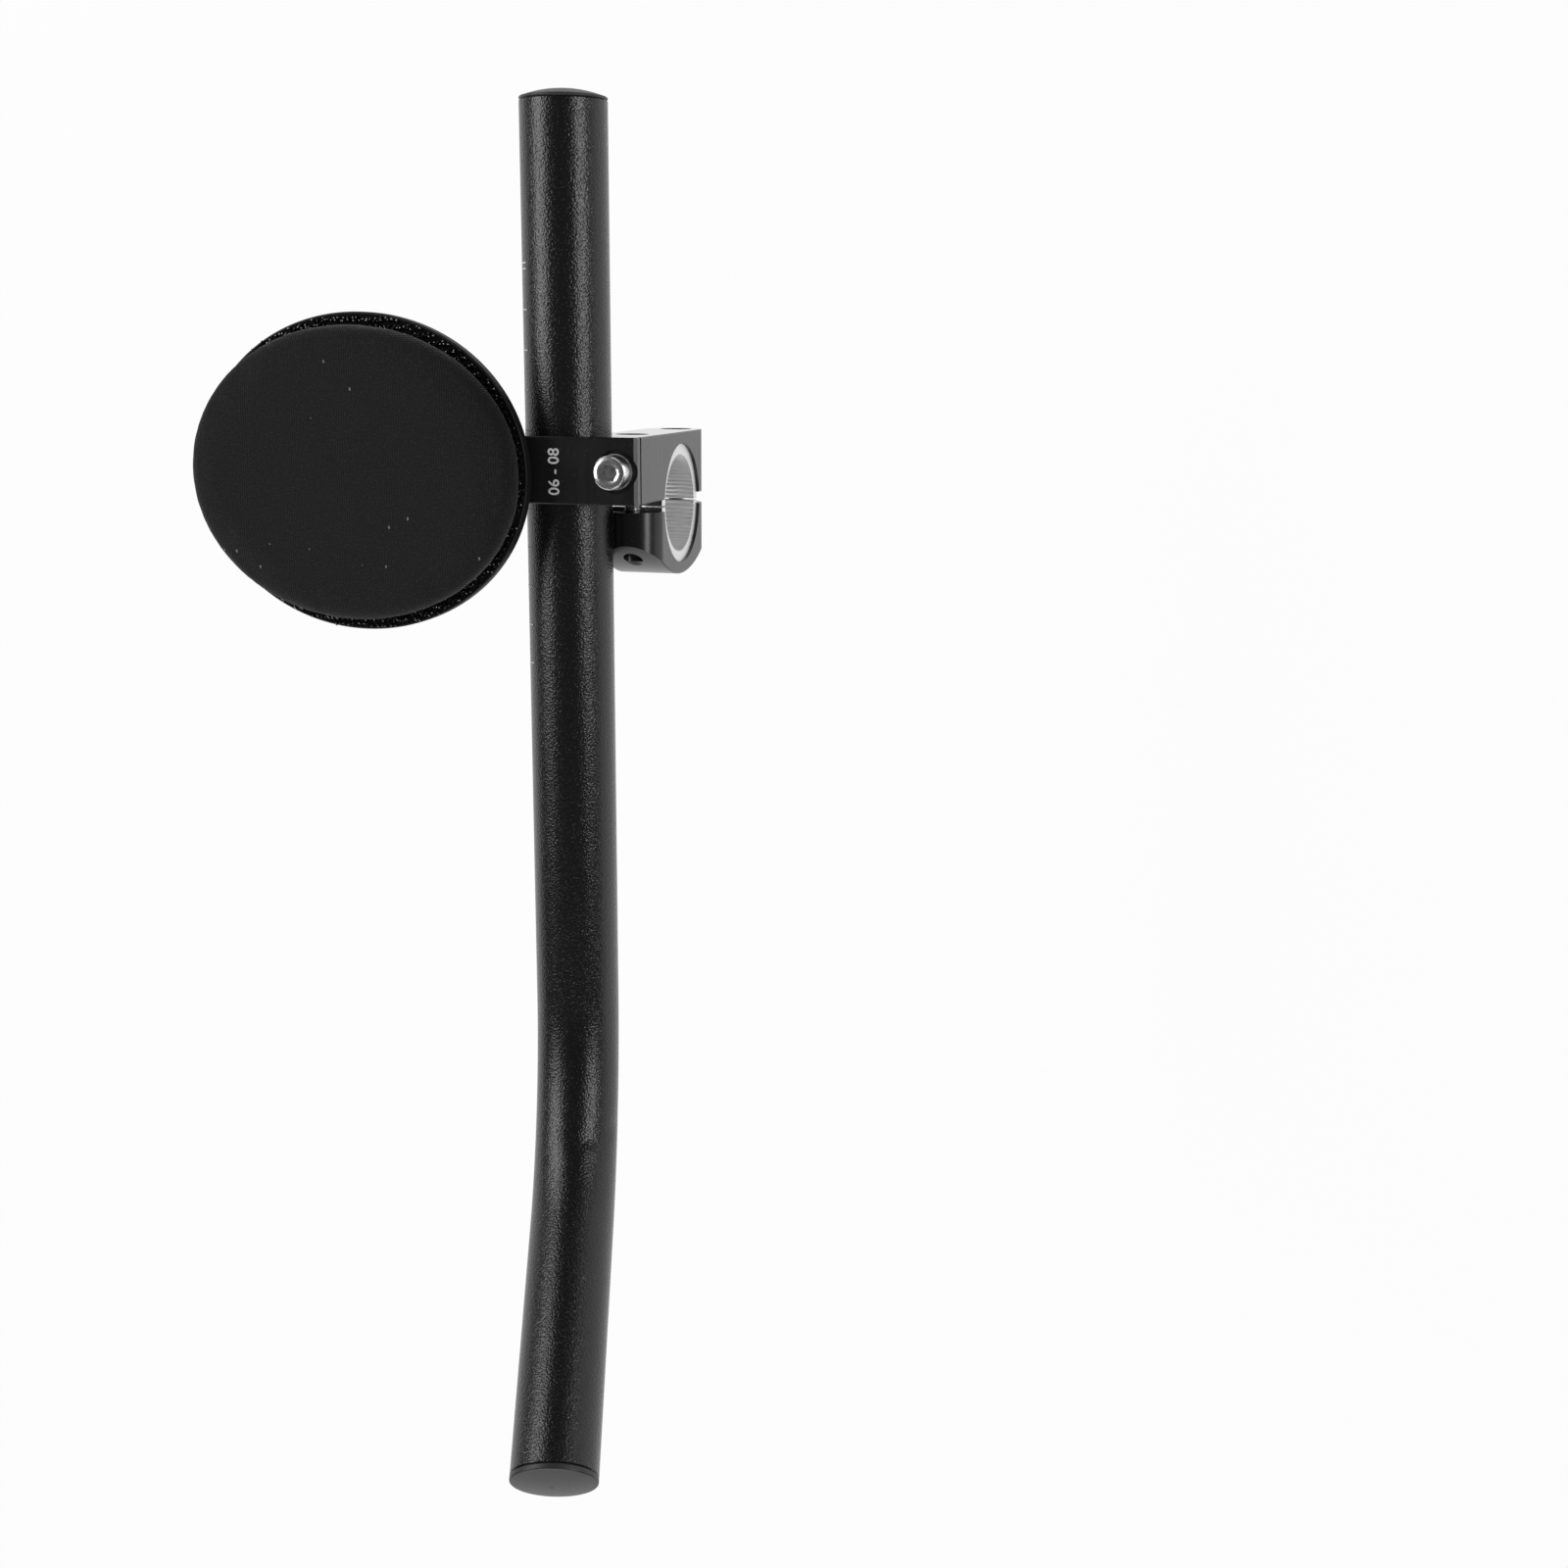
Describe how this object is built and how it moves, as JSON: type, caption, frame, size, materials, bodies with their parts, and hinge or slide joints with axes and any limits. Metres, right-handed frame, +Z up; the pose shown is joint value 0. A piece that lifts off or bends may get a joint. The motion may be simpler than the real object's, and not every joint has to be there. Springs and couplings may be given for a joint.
{
  "type": "aero handlebar extension",
  "caption": "Clip-on aero handlebar extension: bent tube held in a split handlebar clamp, with an arm that carries an oval padded forearm rest.",
  "frame": {"origin": "centre of the handlebar bore, in the middle of the clamp's width", "axes": "+X along the handlebar towards the middle of the bike, +Y along the tube to the rider, +Z up"},
  "size_m": [0.1265, 0.346, 0.1324],
  "materials": {
    "tube_black": "fine satin black anodised",
    "clamp_black": "black anodised",
    "shim_aluminium": "satin",
    "bolt_chrome": "polished",
    "screw_steel": "plated",
    "plug_black": "matte",
    "rest_black": "matte",
    "hook_black": "hook tape",
    "pad_black": "knitted cover over foam"
  },
  "bodies": {
    "clamp": {"clamp_body": "clamp_black", "bar_clamp_cap": "clamp_black", "rear_shim": "shim_aluminium", "front_shim": "shim_aluminium", "tube_bolt": "bolt_chrome", "tube_bolt_washer": "bolt_chrome", "upper_cap_bolt": "screw_steel", "lower_cap_bolt": "screw_steel", "rest_plate": "rest_black", "inner_rest_screw": "screw_steel", "outer_rest_screw": "screw_steel", "hook_disc": "hook_black", "arm_pad": "pad_black"},
    "extension": {"extension_tube": "tube_black", "rear_end_plug": "plug_black", "front_end_plug": "plug_black"}
  },
  "joints": [
    {"name": "tube_reach", "type": "slide", "parent": "clamp", "child": "extension", "axis": [0, -1, 0], "range_m": [-0.04, 0.04]}
  ]
}
